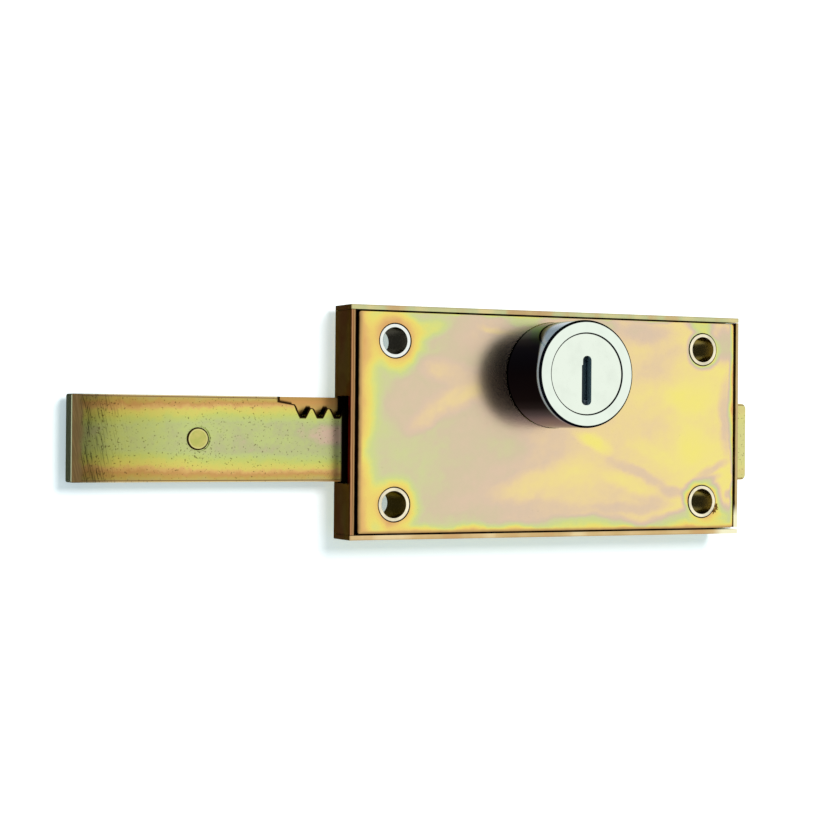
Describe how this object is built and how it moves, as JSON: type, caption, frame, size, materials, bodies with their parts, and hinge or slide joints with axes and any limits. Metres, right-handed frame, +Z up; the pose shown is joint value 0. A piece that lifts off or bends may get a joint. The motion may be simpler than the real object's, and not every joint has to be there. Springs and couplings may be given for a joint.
{
  "type": "roller shutter lock",
  "caption": "Flat folded-metal shutter lock with a round key barrel whose plug drives one long sliding bolt through a rack and pinion.",
  "frame": {"origin": "centre of the rectangle of fixing holes, in the plane of the tray's front rim", "axes": "+X to the right along the bolt, +Y from the mounting face into the case, +Z up"},
  "size_m": [0.1955, 0.0311, 0.06],
  "materials": {
    "case_zinc": "yellow passivated zinc, semi-bright",
    "cover_zinc": "yellow passivated zinc, semi-bright",
    "bolt_zinc": "yellow passivated zinc, semi-bright",
    "pin_steel": "hardened and plated",
    "tube_steel": "turned, bright",
    "barrel_chrome": "plated, bright",
    "plug_nickel": "plated, satin",
    "frame_steel": "yellow passivated zinc",
    "turned_steel": "turned, oiled",
    "screw_zinc": "bright zinc",
    "rivet_steel": "upset, plated",
    "bush_brass": "turned",
    "wafer_brass": "stamped",
    "spring_steel": "drawn wire",
    "gear_steel": "cut, oiled"
  },
  "bodies": {
    "case": {"case_tray": "case_zinc", "cover_plate": "cover_zinc", "fixing_tube_top_left": "tube_steel", "fixing_tube_top_right": "tube_steel", "fixing_tube_bottom_left": "tube_steel", "fixing_tube_bottom_right": "tube_steel", "cover_pillar_upper_left": "turned_steel", "cover_pillar_upper_right": "turned_steel", "cover_pillar_lower": "turned_steel", "cover_screws": "screw_zinc", "barrel_shell": "barrel_chrome", "barrel_flange": "frame_steel", "flange_pillar_left": "turned_steel", "flange_pillar_right": "turned_steel", "flange_screws": "screw_zinc", "rear_bush": "bush_brass", "guide_bracket_left": "frame_steel", "guide_bracket_right": "frame_steel", "guide_rivets": "rivet_steel"},
    "plug": {"plug": "plug_nickel", "pinion": "gear_steel", "pinion_washer": "turned_steel", "retaining_ring": "turned_steel", "wafer_spring_1": "spring_steel", "wafer_spring_2": "spring_steel", "wafer_spring_3": "spring_steel", "wafer_spring_4": "spring_steel", "wafer_spring_5": "spring_steel", "wafer_spring_6": "spring_steel"},
    "bolt": {"bolt_bar": "bolt_zinc", "bolt_pin": "pin_steel"},
    "wafer_1": {"wafer_1": "wafer_brass"},
    "wafer_2": {"wafer_2": "wafer_brass"},
    "wafer_3": {"wafer_3": "wafer_brass"},
    "wafer_4": {"wafer_4": "wafer_brass"},
    "wafer_5": {"wafer_5": "wafer_brass"},
    "wafer_6": {"wafer_6": "wafer_brass"}
  },
  "joints": [
    {"name": "plug_turn", "type": "hinge", "parent": "case", "child": "plug", "pos_m": [-0.0005, 0, 0.013], "axis": [0, -1, 0], "range_deg": [0, 360]},
    {"name": "bolt_slide", "type": "slide", "parent": "case", "child": "bolt", "axis": [1, 0, 0], "range_m": [0, 0.06597]},
    {"name": "wafer_1_slide", "type": "slide", "parent": "plug", "child": "wafer_1", "axis": [0, 0, 1], "range_m": [-0.0009, 0.0009], "stiffness_N_per_m": 150, "deforming": ["wafer_spring_1"]},
    {"name": "wafer_2_slide", "type": "slide", "parent": "plug", "child": "wafer_2", "axis": [0, 0, 1], "range_m": [-0.0009, 0.0009], "stiffness_N_per_m": 150, "deforming": ["wafer_spring_2"]},
    {"name": "wafer_3_slide", "type": "slide", "parent": "plug", "child": "wafer_3", "axis": [0, 0, 1], "range_m": [-0.0009, 0.0009], "stiffness_N_per_m": 150, "deforming": ["wafer_spring_3"]},
    {"name": "wafer_4_slide", "type": "slide", "parent": "plug", "child": "wafer_4", "axis": [0, 0, 1], "range_m": [-0.0009, 0.0009], "stiffness_N_per_m": 150, "deforming": ["wafer_spring_4"]},
    {"name": "wafer_5_slide", "type": "slide", "parent": "plug", "child": "wafer_5", "axis": [0, 0, 1], "range_m": [-0.0009, 0.0009], "stiffness_N_per_m": 150, "deforming": ["wafer_spring_5"]},
    {"name": "wafer_6_slide", "type": "slide", "parent": "plug", "child": "wafer_6", "axis": [0, 0, 1], "range_m": [-0.0009, 0.0009], "stiffness_N_per_m": 150, "deforming": ["wafer_spring_6"]}
  ],
  "couplings": [
    {"joint": "plug_turn", "follows": "bolt_slide", "rad_per_m": 95.238}
  ]
}
